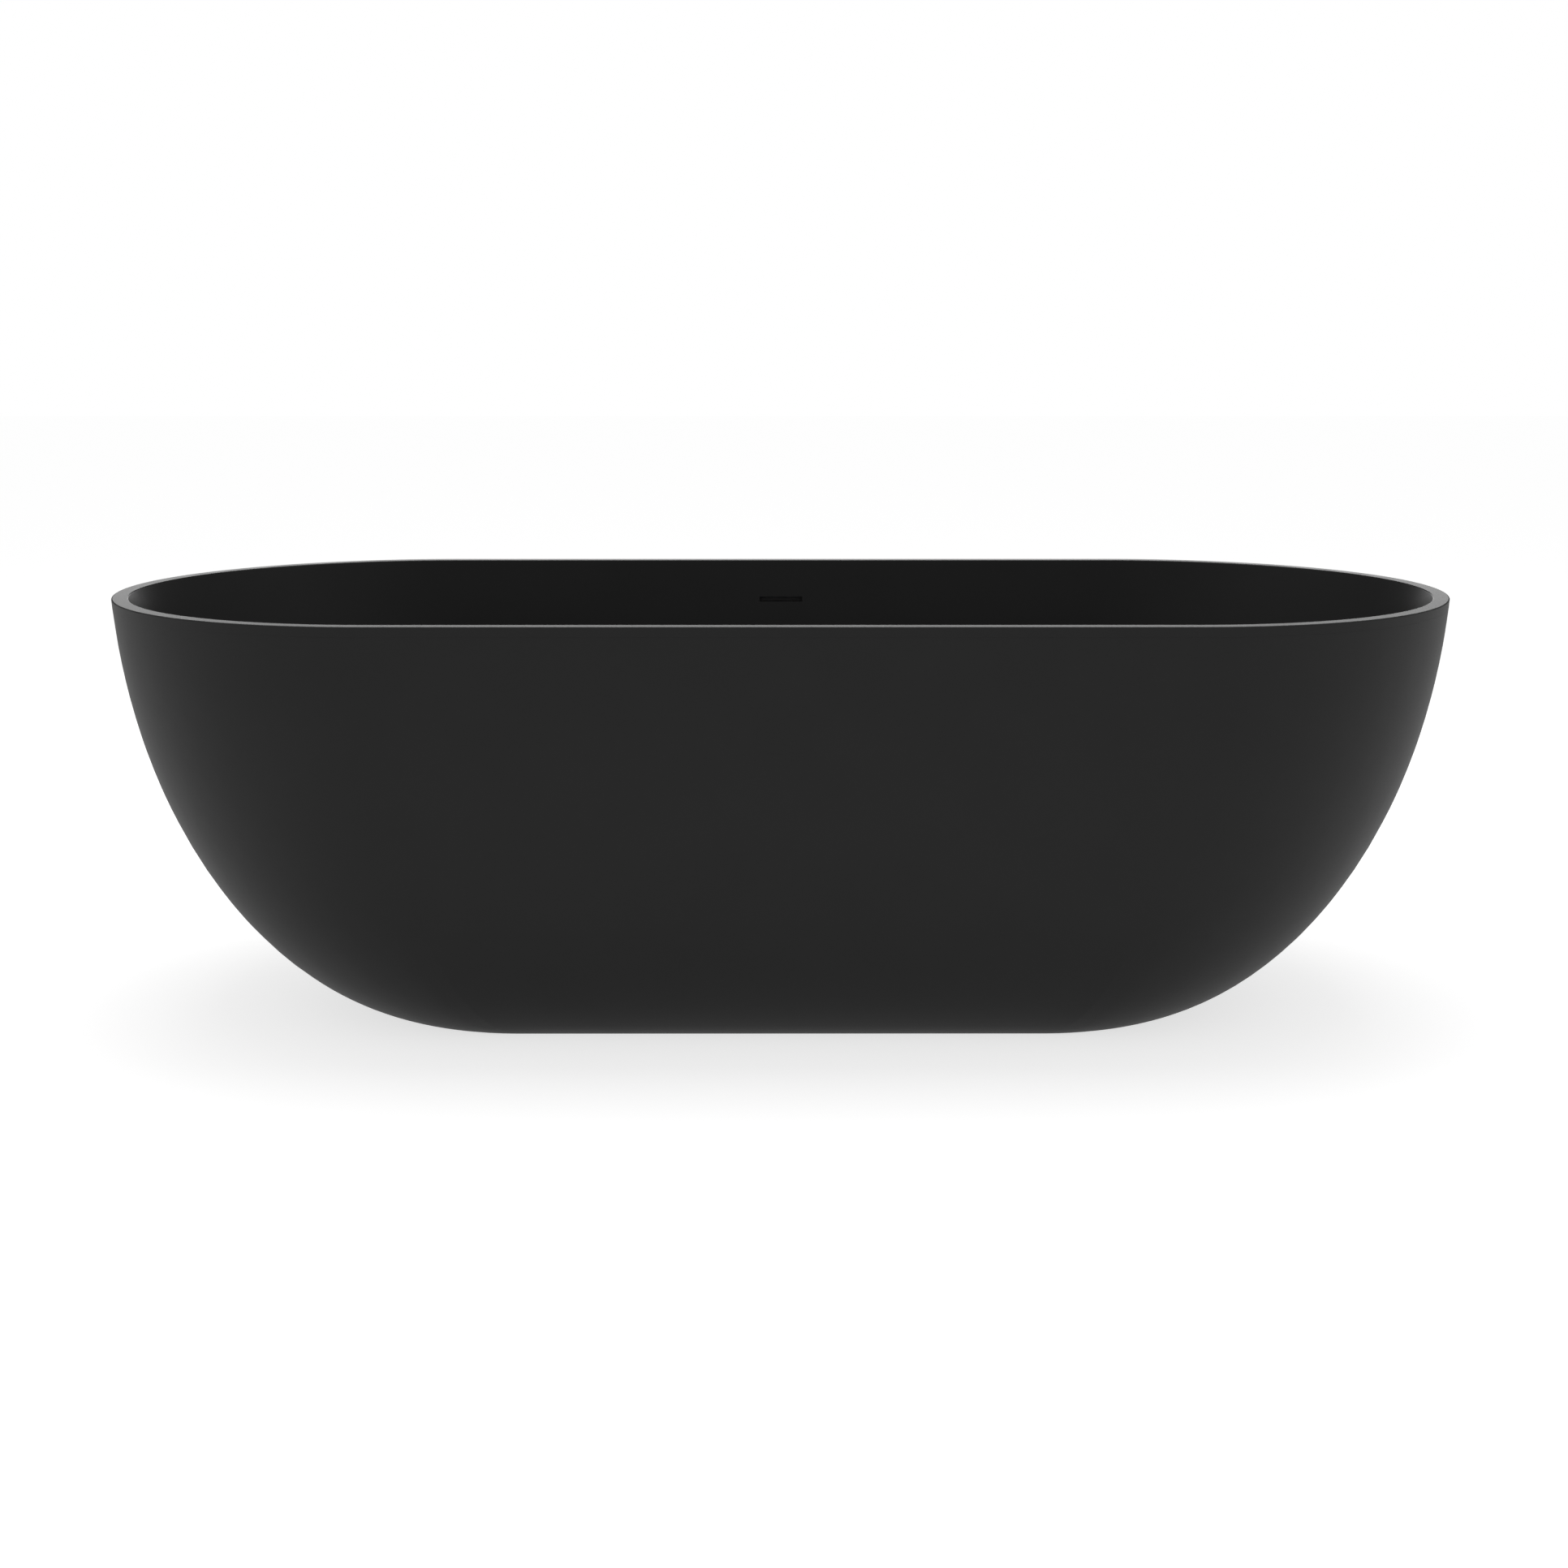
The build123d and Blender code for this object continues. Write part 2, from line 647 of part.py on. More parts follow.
with BuildPart() as plug_cartridge:
    with BuildSketch(Plane.XY.offset(cartridge_bottom)):
        Circle(cartridge_radius)
    extrude(amount=cartridge_top - cartridge_bottom)
    with BuildSketch(Plane.XY.offset(crossbar_top)):
        RegularPolygon(cartridge_radius + crossbar_hub_wall, 6, major_radius=False)
    extrude(amount=cartridge_hex_thickness)
    with BuildSketch(Plane.XY.offset(cartridge_bottom + cartridge_end)):
        Circle(cartridge_bore)
    extrude(amount=cartridge_top - cartridge_bottom - 2 * cartridge_end, mode=Mode.SUBTRACT)
    with BuildSketch(Plane.XY.offset(cartridge_top - cartridge_end - BEYOND)):
        Circle(stem_radius + stem_gap)
    extrude(amount=cartridge_end + 2 * BEYOND, mode=Mode.SUBTRACT)
save(plug_cartridge, "plug_cartridge")

with BuildPart() as plug_stem:
    with BuildSketch(Plane.XY.offset(collar_bottom)):
        Circle(stem_radius)
    extrude(amount=stem_top - collar_bottom)
    with BuildSketch(Plane.XY.offset(collar_bottom)):
        Circle(stem_collar_radius)
    extrude(amount=stem_collar_thickness)
save(plug_stem, "plug_stem")

spring_length = collar_bottom - spring_bottom - spring_end_gap
with BuildPart() as plug_spring:
    coil_height = spring_length - spring_wire
    with BuildLine():
        coil = Helix(
            pitch=coil_height / spring_turns,
            height=coil_height,
            radius=spring_radius,
            center=(0, 0, spring_bottom + spring_wire / 2),
        )
    with BuildSketch(Plane.XZ):
        with Locations((spring_radius, spring_bottom + spring_wire / 2)):
            Rectangle(spring_wire, spring_wire)
    sweep(is_frenet=True)
save(plug_spring, "plug_spring")

cap_top = cap_underside + cap_edge + cap_crown
with BuildPart() as plug_cap:
    with BuildSketch(Plane.XZ):
        Polygon(
            (0, cap_boss_bottom),
            (cap_boss_radius, cap_boss_bottom),
            (cap_boss_radius, cap_underside),
            (cap_radius - cap_edge / 4, cap_underside),
            (cap_radius, cap_underside + cap_edge / 4),
            (cap_radius, cap_underside + cap_edge),
            (cap_radius - 2 * cap_crown, cap_top),
            (0, cap_top),
            align=None,
        )
    revolve(axis=Axis.Z)
    with BuildSketch(Plane.XY.offset(cap_boss_bottom)):
        Circle(stem_radius + thread_gap)
    extrude(amount=stem_top + thread_gap - cap_boss_bottom, mode=Mode.SUBTRACT)
save(plug_cap, "plug_cap")

# The seal's flank is parallel to the flange's seat and stands clear of it by the same distance.
flank_shift = seal_to_seat * hypot(flange_seat_depth, seat_run) / flange_seat_depth
seal_bottom = drain_level - seal_into_seat


def seat_radius(height):
    """Radius of the flange's seat at a height."""
    return flange_seat_radius - (drain_level - height) * seat_run / flange_seat_depth


with BuildPart() as plug_seal:
    with BuildSketch(Plane.XZ):
        seal_edge = seat_radius(drain_level) - flank_shift
        Polygon(
            (cap_boss_radius + thread_gap, seal_bottom),
            (seat_radius(seal_bottom) - flank_shift, seal_bottom),
            (seal_edge, drain_level),
            (seal_edge, cap_underside),
            (cap_boss_radius + thread_gap, cap_underside),
            align=None,
        )
    revolve(axis=Axis.Z)
save(plug_seal, "plug_seal")

# ---- Levelling feet --------------------------------------------------------------------------
with BuildPart() as foot_inserts:
    for place in foot_places.values():
        with BuildSketch(Plane.XY.offset(insert_flange_level)):
            with Locations(place):
                Circle(insert_flange_radius)
        extrude(amount=insert_flange_thickness)
        with BuildSketch(Plane.XY.offset(insert_flange_level)):
            with Locations(place):
                Circle(insert_radius)
        extrude(amount=insert_flange_thickness + insert_length)
        with BuildSketch(Plane.XY.offset(insert_flange_level)):
            with Locations(place):
                Circle(stud_radius + thread_gap)
        extrude(amount=insert_flange_thickness + insert_length, mode=Mode.SUBTRACT)
save(foot_inserts, "foot_inserts")

with BuildPart() as foot_lock_nuts:
    with BuildSketch(Plane.XY.offset(insert_flange_level - lock_nut_thickness)):
        with Locations(*foot_places.values()):
            RegularPolygon(lock_nut_across_flats / 2, 6, major_radius=False)
            Circle(stud_radius + thread_gap, mode=Mode.SUBTRACT)
    extrude(amount=lock_nut_thickness)
save(foot_lock_nuts, "foot_lock_nuts")

foot_pad_top = sole_thickness + foot_pad_height
swivel_bottom = sole_thickness + foot_pad_edge
stud_top = foot_boss_level + stud_in_insert
stud_hex_bottom = foot_pad_top + sole_thickness

for corner, (foot_x_place, foot_y_place) in foot_places.items():
    foot_axis = Plane(origin=(foot_x_place, foot_y_place, 0))
    foot_side = Plane(origin=(foot_x_place, foot_y_place, 0), x_dir=(1, 0, 0), z_dir=(0, -1, 0))
    spin = Axis((foot_x_place, foot_y_place, 0), (0, 0, 1))

    with BuildPart() as foot_sole:
        with BuildSketch(foot_axis):
            Circle(foot_pad_radius)
        extrude(amount=sole_thickness)
    save(foot_sole, f"foot_sole_{corner}")

    # The pad holds the stud's swivel head in an undercut pocket, so the stud can turn on it.
    with BuildPart() as foot_pad:
        with BuildSketch(foot_side):
            Polygon(
                (0, sole_thickness),
                (foot_pad_radius, sole_thickness),
                (foot_pad_radius, sole_thickness + foot_pad_edge),
                (swivel_radius + foot_pad_edge, foot_pad_top),
                (stud_neck_radius + swivel_gap, foot_pad_top),
                (stud_neck_radius + swivel_gap, swivel_bottom + swivel_height + swivel_gap),
                (swivel_radius + swivel_gap, swivel_bottom + swivel_height + swivel_gap),
                (swivel_radius + swivel_gap, swivel_bottom - swivel_gap),
                (0, swivel_bottom - swivel_gap),
                align=None,
            )
        revolve(axis=spin)
    save(foot_pad, f"foot_pad_{corner}")

    with BuildPart() as foot_stud:
        with BuildSketch(foot_axis.offset(swivel_bottom)):
            Circle(swivel_radius)
        extrude(amount=swivel_height)
        with BuildSketch(foot_axis.offset(swivel_bottom)):
            Circle(stud_neck_radius)
        extrude(amount=stud_hex_bottom - swivel_bottom)
        with BuildSketch(foot_axis.offset(stud_hex_bottom)):
            RegularPolygon(stud_hex / 2, 6, major_radius=False)
        extrude(amount=stud_hex_height)
        with BuildSketch(foot_axis.offset(stud_hex_bottom)):
            Circle(stud_radius)
        extrude(amount=stud_top - stud_hex_bottom)
        chamfer(foot_stud.faces().sort_by(Axis.Z)[-1].edges(), stud_radius - stud_neck_radius)
    save(foot_stud, f"foot_stud_{corner}")
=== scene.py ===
import json
from math import cos, pi, radians, sin, tan

import bmesh
import bpy
from mathutils import Matrix, Vector


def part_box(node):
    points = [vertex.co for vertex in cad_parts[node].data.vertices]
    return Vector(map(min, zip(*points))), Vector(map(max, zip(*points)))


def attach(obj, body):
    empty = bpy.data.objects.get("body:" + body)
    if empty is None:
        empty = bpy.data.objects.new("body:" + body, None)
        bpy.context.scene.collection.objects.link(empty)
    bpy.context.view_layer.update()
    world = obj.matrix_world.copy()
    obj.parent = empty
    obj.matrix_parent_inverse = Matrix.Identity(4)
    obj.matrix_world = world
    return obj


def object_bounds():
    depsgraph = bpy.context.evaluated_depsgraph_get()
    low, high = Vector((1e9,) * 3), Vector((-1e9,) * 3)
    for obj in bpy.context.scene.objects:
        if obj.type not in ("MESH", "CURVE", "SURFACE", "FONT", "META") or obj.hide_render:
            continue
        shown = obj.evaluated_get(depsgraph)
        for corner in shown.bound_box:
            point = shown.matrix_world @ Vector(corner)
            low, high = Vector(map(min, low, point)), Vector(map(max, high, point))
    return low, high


# Freestanding bath in matt black cast stone, seen from its long side. Metres, in the CAD frame.

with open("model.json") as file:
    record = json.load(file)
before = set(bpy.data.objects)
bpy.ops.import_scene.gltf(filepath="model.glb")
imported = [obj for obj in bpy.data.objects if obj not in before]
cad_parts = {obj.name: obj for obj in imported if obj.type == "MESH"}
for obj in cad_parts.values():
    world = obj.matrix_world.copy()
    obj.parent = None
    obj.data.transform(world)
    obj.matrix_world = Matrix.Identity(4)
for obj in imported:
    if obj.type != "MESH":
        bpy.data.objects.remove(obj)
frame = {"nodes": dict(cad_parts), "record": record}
cad_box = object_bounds()
MM = 0.001
MIXED_NUMBER = 0  # which output of a Mix node holds its number
MIXED_COLOUR = 2  # which output of a Mix node holds its colour

# ---- Places and sizes ------------------------------------------------------------------------

RIM_THICKNESS = 12 * MM
rim_level = cad_box[1][2]
seam_level = rim_level - RIM_THICKNESS

flange_low = Vector(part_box("waste_flange")[0])
TAIL_PITCH = 25.4 / 11 * MM
TAIL_DEPTH = 1.48 * MM
TAIL_BORE_RADIUS = 21 * MM
recess_level = Vector(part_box("flange_seal")[0]).z  # of the basin's floor under the seal

stud_low, stud_high = (Vector(corner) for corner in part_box("foot_stud_back_right"))
foot_x = (stud_low.x + stud_high.x) / 2
foot_y = (stud_low.y + stud_high.y) / 2
STUD_PITCH = 1.75 * MM
STUD_DEPTH = 1.07 * MM
STUD_HEX_TOP = 26 * MM

# The hose runs down the cavity beside the basin's leaning wall, bends under the bath and ends
# level at the waste.
hose_low, hose_high = (Vector(corner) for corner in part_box("overflow_hose"))
WALL_LEAN = radians(15)
HOSE_BEND = 150 * MM
CLIP_FROM_END = 11 * MM
hose_radius = (hose_high.x - hose_low.x) / 2
hose_level = hose_low.z + hose_radius
up_the_wall = Vector((0, sin(WALL_LEAN), cos(WALL_LEAN)))
hose_top = Vector(
    (0, hose_high.y - hose_radius * cos(WALL_LEAN), hose_high.z - hose_radius * sin(WALL_LEAN))
)
hose_foot = Vector((0, hose_low.y, hose_level))
hose_corner = hose_top - up_the_wall * ((hose_top.z - hose_level) / up_the_wall.z)
hose_turn = pi / 2 - WALL_LEAN
corner_to_bend = HOSE_BEND * tan(hose_turn / 2)
bend_start_y = hose_corner.y - corner_to_bend
bend_end = hose_corner + up_the_wall * corner_to_bend

# ---- Helpers ---------------------------------------------------------------------------------


def linear(hex_colour):
    """sRGB hex to the linear colour that shaders take."""
    shares = [int(hex_colour[i : i + 2], 16) / 255 for i in (1, 3, 5)]
    bent = [
        share / 12.92 if share <= 0.04045 else ((share + 0.055) / 1.055) ** 2.4
        for share in shares
    ]
    return (*bent, 1.0)


def add_node(tree, kind, inputs=None, **settings):
    """Add a shader node with its settings, and give its inputs values or links."""
    node = tree.nodes.new(kind)
    for name, value in settings.items():
        setattr(node, name, value)
    for name, value in (inputs or {}).items():
        if isinstance(name, int):
            socket = node.inputs[name]
        else:
            socket = next(each for each in node.inputs if name in (each.identifier, each.name))
        if isinstance(value, bpy.types.NodeSocket):
            tree.links.new(value, socket)
        else:
            socket.default_value = value
    return node


def new_material(name):
    """An empty node material, with its tree and the place on the piece."""
    material = bpy.data.materials.new(name)
    material.use_nodes = True
    tree = material.node_tree
    tree.nodes.clear()
    return material, tree, add_node(tree, "ShaderNodeTexCoord").outputs["Object"]


def finish_material(tree, shader):
    """Put a material's shader on its surface."""
    add_node(tree, "ShaderNodeOutputMaterial", {"Surface": shader.outputs[0]})


# ---- Patterns that several finishes share ----------------------------------------------------


def clouded(tree, place, size, dark, light):
    """A colour that drifts between two shades over patches of a size."""
    cloud = add_node(
        tree, "ShaderNodeTexNoise", {"Vector": place, "Scale": 1 / size, "Detail": 3.0}
    )
    mix = add_node(
        tree,
        "ShaderNodeMix",
        {
            "Factor_Float": cloud.outputs["Fac"],
            "A_Color": linear(dark),
            "B_Color": linear(light),
        },
        data_type="RGBA",
    )
    return mix.outputs[MIXED_COLOUR]


def from_upright_axis(tree, place, axis_x, axis_y):
    """Distance from the nearest upright axis, the angle round it, and the height.

    The axes stand at (+-axis_x, +-axis_y): four for the feet, and one for what is in the middle.
    """
    parts = add_node(tree, "ShaderNodeSeparateXYZ", {0: place})
    offsets = []
    for name, axis in (("X", axis_x), ("Y", axis_y)):
        side = add_node(tree, "ShaderNodeMath", {0: parts.outputs[name]}, operation="SIGN")
        offset = add_node(
            tree,
            "ShaderNodeMath",
            {0: side.outputs[0], 1: -axis, 2: parts.outputs[name]},
            operation="MULTIPLY_ADD",
        )
        offsets.append(offset.outputs[0])
    flat = add_node(tree, "ShaderNodeCombineXYZ", {"X": offsets[0], "Y": offsets[1]})
    radius = add_node(tree, "ShaderNodeVectorMath", {0: flat.outputs[0]}, operation="LENGTH")
    angle = add_node(
        tree, "ShaderNodeMath", {0: offsets[1], 1: offsets[0]}, operation="ARCTAN2"
    )
    return radius.outputs["Value"], angle.outputs[0], parts.outputs["Z"]


def zone(tree, value, low, high, edge):
    """1 between two levels and 0 outside them, with soft edges."""
    rise = add_node(
        tree, "ShaderNodeMapRange", {"Value": value, "From Min": low, "From Max": low + edge}
    )
    fall = add_node(
        tree, "ShaderNodeMapRange", {"Value": value, "From Min": high, "From Max": high - edge}
    )
    both = add_node(
        tree,
        "ShaderNodeMath",
        {0: rise.outputs["Result"], 1: fall.outputs["Result"]},
        operation="MULTIPLY",
    )
    return both.outputs[0]


def waves(tree, value, pitch):
    """Even ridges along a length, from 0 in the valleys to 1 on the crests."""
    turns = add_node(
        tree, "ShaderNodeMath", {0: value, 1: 2 * pi / pitch}, operation="MULTIPLY"
    )
    wave = add_node(tree, "ShaderNodeMath", {0: turns.outputs[0]}, operation="SINE")
    return add_node(
        tree, "ShaderNodeMath", {0: wave.outputs[0], 1: 0.5, 2: 0.5}, operation="MULTIPLY_ADD"
    ).outputs[0]


def thread_ridge(tree, angle, height, pitch, bottom, top):
    """A right-hand thread's flanks between two levels, from 0 at the root to 1 at the crest."""
    climbed = add_node(tree, "ShaderNodeMath", {0: height, 1: pitch}, operation="DIVIDE")
    helix = add_node(
        tree,
        "ShaderNodeMath",
        {0: angle, 1: -1 / (2 * pi), 2: climbed.outputs[0]},
        operation="MULTIPLY_ADD",
    )
    flank = add_node(
        tree, "ShaderNodeMath", {0: helix.outputs[0], 1: 0.5}, operation="PINGPONG"
    )
    ridge = add_node(
        tree,
        "ShaderNodeMath",
        {0: flank.outputs[0], 1: zone(tree, height, bottom, top, pitch)},
        operation="MULTIPLY",
    )
    return add_node(
        tree, "ShaderNodeMath", {0: ridge.outputs[0], 1: 2.0}, operation="MULTIPLY"
    ).outputs[0]


def speckled(tree, place, size, low, high):
    """A number that varies from grain to grain of a size, and the grains' own height."""
    grain = add_node(
        tree, "ShaderNodeTexNoise", {"Vector": place, "Scale": 1 / size, "Detail": 2.0}
    )
    value = add_node(
        tree,
        "ShaderNodeMapRange",
        {
            "Value": grain.outputs["Fac"],
            "From Min": 0.3,
            "From Max": 0.7,
            "To Min": low,
            "To Max": high,
        },
    )
    return value.outputs["Result"], grain.outputs["Fac"]


# ---- Materials -------------------------------------------------------------------------------

STONE_IOR = 1.25
RAW_STONE_ROUGHNESS = 0.78
RAW_STONE_RELIEF = 1.2 * MM
RIB_PITCH = 4 * MM
RIB_DEPTH = 1.2 * MM
HOSE_CUFF = 15 * MM


def stone_colour(tree, place, satin_and_painted_shade, raw):
    """Black that drifts a little: darker where it is satin, which is painted shade, and greyer
    where it is raw.
    """
    sanded = add_node(
        tree,
        "ShaderNodeMix",
        {
            "Factor_Float": satin_and_painted_shade,
            "A_Color": clouded(tree, place, 90 * MM, "#2b2b2b", "#2f2f2f"),
            # Painted shade: the satin inside gets a darker black than the matt outside, though it
            # is the same stone.
            "B_Color": clouded(tree, place, 90 * MM, "#191919", "#1d1d1d"),
        },
        data_type="RGBA",
    )
    whole = add_node(
        tree,
        "ShaderNodeMix",
        {
            "Factor_Float": raw,
            "A_Color": sanded.outputs[MIXED_COLOUR],
            "B_Color": clouded(tree, place, 30 * MM, "#2a2a2b", "#39393a"),
        },
        data_type="RGBA",
    )
    return whole.outputs[MIXED_COLOUR]


def stone_gloss(tree, place, satin_and_painted_shade, raw, matt_gloss):
    """Roughness of the stone: matt, satin or raw, with the flat rim rubbed furthest."""
    satin_gloss, _ = speckled(tree, place, 0.9 * MM, 0.34, 0.38)
    rim_gloss, _ = speckled(tree, place, 0.9 * MM, 0.15, 0.19)
    height = add_node(tree, "ShaderNodeSeparateXYZ", {0: place}).outputs["Z"]
    on_rim = add_node(
        tree,
        "ShaderNodeMapRange",
        {"Value": height, "From Min": rim_level - 1.5 * MM, "From Max": rim_level - 0.5 * MM},
    )
    inside = add_node(
        tree,
        "ShaderNodeMix",
        {"Factor_Float": on_rim.outputs["Result"], "A_Float": satin_gloss, "B_Float": rim_gloss},
    )
    sanded = add_node(
        tree,
        "ShaderNodeMix",
        {"Factor_Float": satin_and_painted_shade, "A_Float": matt_gloss, "B_Float": inside.outputs[MIXED_NUMBER]},
    )
    whole = add_node(
        tree,
        "ShaderNodeMix",
        {
            "Factor_Float": raw,
            "A_Float": sanded.outputs[MIXED_NUMBER],
            "B_Float": RAW_STONE_ROUGHNESS,
        },
    )
    return whole.outputs[MIXED_NUMBER]


def stone_relief(tree, place, raw, grit):
    """The stone's surface: grit all over, with ripples and pinholes where it is raw."""
    sanded = add_node(
        tree, "ShaderNodeBump", {"Height": grit, "Strength": 0.25, "Distance": 0.05 * MM}
    )
    ripples = add_node(
        tree, "ShaderNodeTexNoise", {"Vector": place, "Scale": 1 / (14 * MM), "Detail": 4.0}
    )
    bubbles = add_node(tree, "ShaderNodeTexVoronoi", {"Vector": place, "Scale": 1 / (9 * MM)})
    pinholes = add_node(
        tree,
        "ShaderNodeMapRange",
        {
            "Value": bubbles.outputs["Distance"],
            "From Min": 0.04,
            "From Max": 0.1,
            "To Min": 0.4,
        },
    )
    uneven = add_node(
        tree,
        "ShaderNodeMath",
        {0: ripples.outputs["Fac"], 1: pinholes.outputs["Result"]},
        operation="ADD",
    )
    raw_relief = add_node(
        tree, "ShaderNodeMath", {0: uneven.outputs[0], 1: raw}, operation="MULTIPLY"
    )
    whole = add_node(
        tree,
        "ShaderNodeBump",
        {
            "Height": raw_relief.outputs[0],
            "Distance": RAW_STONE_RELIEF,
            "Normal": sanded.outputs["Normal"],
        },
    )
    return whole.outputs["Normal"]


def cast_stone(name, find_sides):
    """Cast stone resin, pigmented black right through.

    Its outside is sanded matt, over a mineral grit of about a millimetre. Its inside is rubbed
    down further, to a satin, and the flat rim furthest; the inside's darker colour is painted
    shade. The raw side, which the bath hides, is greyer and rougher, with the ripples and
    pinholes of casting.
    """
    material, tree, place = new_material(name)
    satin_and_painted_shade, raw = find_sides(tree, place)
    matt_gloss, grit = speckled(tree, place, 1.2 * MM, 0.54, 0.58)
    shader = add_node(
        tree,
        "ShaderNodeBsdfPrincipled",
        {
            "Base Color": stone_colour(tree, place, satin_and_painted_shade, raw),
            "Roughness": stone_gloss(tree, place, satin_and_painted_shade, raw, matt_gloss),
            "IOR": STONE_IOR,
            "Normal": stone_relief(tree, place, raw, grit),
        },
    )
    finish_material(tree, shader)
    return material


def facing_out(tree, place, normal):
    """How far a face looks away from the bath's middle: above 0 outwards, below 0 inwards."""
    level_place = add_node(
        tree, "ShaderNodeVectorMath", {0: place, 1: (1, 1, 0)}, operation="MULTIPLY"
    )
    return add_node(
        tree,
        "ShaderNodeVectorMath",
        {0: level_place.outputs[0], 1: normal},
        operation="DOT_PRODUCT",
    ).outputs["Value"]


def sides_of_shell(tree, place):
    """Where the shell is satin and painted darker as shade, which is nowhere, and raw, which is
    its inside.
    """
    normal = add_node(tree, "ShaderNodeTexCoord").outputs["Normal"]
    inside = add_node(
        tree,
        "ShaderNodeMapRange",
        {"Value": facing_out(tree, place, normal), "From Min": -0.01, "From Max": -0.04},
    )
    return 0.0, inside.outputs["Result"]


def sides_of_basin(tree, place):
    """Where the basin is satin and painted darker as shade, and where it is raw.

    It is satin, and painted darker as shade, all over but for faces that look outwards. It is raw
    where its cover, the shell, hides it: on the wall's back below the seam, and under the floor.
    """
    normal = add_node(tree, "ShaderNodeTexCoord").outputs["Normal"]
    height = add_node(tree, "ShaderNodeSeparateXYZ", {0: place}).outputs["Z"]
    steepness = add_node(tree, "ShaderNodeSeparateXYZ", {0: normal}).outputs["Z"]
    outside = add_node(
        tree,
        "ShaderNodeMapRange",
        {"Value": facing_out(tree, place, normal), "From Min": 0.01, "From Max": 0.04},
    ).outputs["Result"]
    inside = add_node(tree, "ShaderNodeMath", {0: 1.0, 1: outside}, operation="SUBTRACT")
    below_rim = add_node(
        tree, "ShaderNodeMath", {0: height, 1: seam_level}, operation="LESS_THAN"
    )
    wall = add_node(
        tree, "ShaderNodeMath", {0: outside, 1: below_rim.outputs[0]}, operation="MULTIPLY"
    )
    underside = add_node(
        tree, "ShaderNodeMapRange", {"Value": steepness, "From Min": -0.3, "From Max": -0.5}
    )
    below_floor = add_node(
        tree, "ShaderNodeMath", {0: height, 1: recess_level - 0.5 * MM}, operation="LESS_THAN"
    )
    under = add_node(
        tree,
        "ShaderNodeMath",
        {0: underside.outputs["Result"], 1: below_floor.outputs[0]},
        operation="MAXIMUM",
    )
    raw = add_node(
        tree, "ShaderNodeMath", {0: wall.outputs[0], 1: under.outputs[0]}, operation="MAXIMUM"
    )
    return inside.outputs[0], raw.outputs[0]


def black_coated_brass(name, thread_top):
    """Turned brass under a thin matt black coat: even and satiny, with a fine orange peel.

    On a thread the coat is rubbed through to the brass along the crests.
    """
    material, tree, place = new_material(name)
    gloss, peel = speckled(tree, place, 1.5 * MM, 0.34, 0.42)
    radius, angle, height = from_upright_axis(tree, place, 0.0, 0.0)
    helix = thread_ridge(tree, angle, height, TAIL_PITCH, flange_low.z, thread_top)
    not_bore = add_node(
        tree, "ShaderNodeMath", {0: radius, 1: TAIL_BORE_RADIUS + MM}, operation="GREATER_THAN"
    )
    ridge = add_node(
        tree, "ShaderNodeMath", {0: helix, 1: not_bore.outputs[0]}, operation="MULTIPLY"
    ).outputs[0]
    worn = add_node(
        tree, "ShaderNodeMapRange", {"Value": ridge, "From Min": 0.84, "From Max": 0.96}
    ).outputs["Result"]
    colour = add_node(
        tree,
        "ShaderNodeMix",
        {
            "Factor_Float": worn,
            "A_Color": clouded(tree, place, 20 * MM, "#151515", "#1b1b1b"),
            "B_Color": linear("#c9a86c"),
        },
        data_type="RGBA",
    )
    skin = add_node(
        tree, "ShaderNodeBump", {"Height": peel, "Strength": 0.3, "Distance": 0.05 * MM}
    )
    bump = add_node(
        tree,
        "ShaderNodeBump",
        {"Height": ridge, "Distance": TAIL_DEPTH, "Normal": skin.outputs["Normal"]},
    )
    shader = add_node(
        tree,
        "ShaderNodeBsdfPrincipled",
        {
            "Base Color": colour.outputs[MIXED_COLOUR],
            "Metallic": worn,
            "Roughness": gloss,
            "Normal": bump.outputs["Normal"],
        },
    )
    finish_material(tree, shader)
    return material


def turned_metal(name, dark, light, roughness, axis_x=0.0, axis_y=0.0):
    """Metal bar turned on a lathe: bright, with fine rings round its own axis.

    The rings are drawn 0.4 mm apart, coarser than a tool leaves them, so that they show.
    """
    material, tree, place = new_material(name)
    gloss, _ = speckled(tree, place, 3 * MM, roughness - 0.06, roughness + 0.06)
    radius, _, height = from_upright_axis(tree, place, axis_x, axis_y)
    along = add_node(tree, "ShaderNodeMath", {0: radius, 1: height}, operation="ADD")
    rings = add_node(
        tree,
        "ShaderNodeBump",
        {
            "Height": waves(tree, along.outputs[0], 0.4 * MM),
            "Strength": 0.35,
            "Distance": 0.02 * MM,
        },
    )
    shader = add_node(
        tree,
        "ShaderNodeBsdfPrincipled",
        {
            "Base Color": clouded(tree, place, 12 * MM, dark, light),
            "Metallic": 1.0,
            "Roughness": gloss,
            "Normal": rings.outputs["Normal"],
        },
    )
    finish_material(tree, shader)
    return material


def zinc_plated_steel(name, threaded):
    """Cold-formed steel with bright zinc: bluish grey, slightly milky in patches."""
    material, tree, place = new_material(name)
    gloss, grain = speckled(tree, place, 4 * MM, 0.24, 0.40)
    _, angle, height = from_upright_axis(tree, place, foot_x, foot_y)
    top = stud_high.z + STUD_PITCH if threaded else STUD_HEX_TOP
    ridge = thread_ridge(tree, angle, height, STUD_PITCH, STUD_HEX_TOP, top)
    pores = add_node(
        tree, "ShaderNodeBump", {"Height": grain, "Strength": 0.2, "Distance": 0.04 * MM}
    )
    bump = add_node(
        tree,
        "ShaderNodeBump",
        {"Height": ridge, "Distance": STUD_DEPTH, "Normal": pores.outputs["Normal"]},
    )
    shader = add_node(
        tree,
        "ShaderNodeBsdfPrincipled",
        {
            "Base Color": clouded(tree, place, 9 * MM, "#bcc3c9", "#d3d5d4"),
            "Metallic": 1.0,
            "Roughness": gloss,
            "Normal": bump.outputs["Normal"],
        },
    )
    finish_material(tree, shader)
    return material


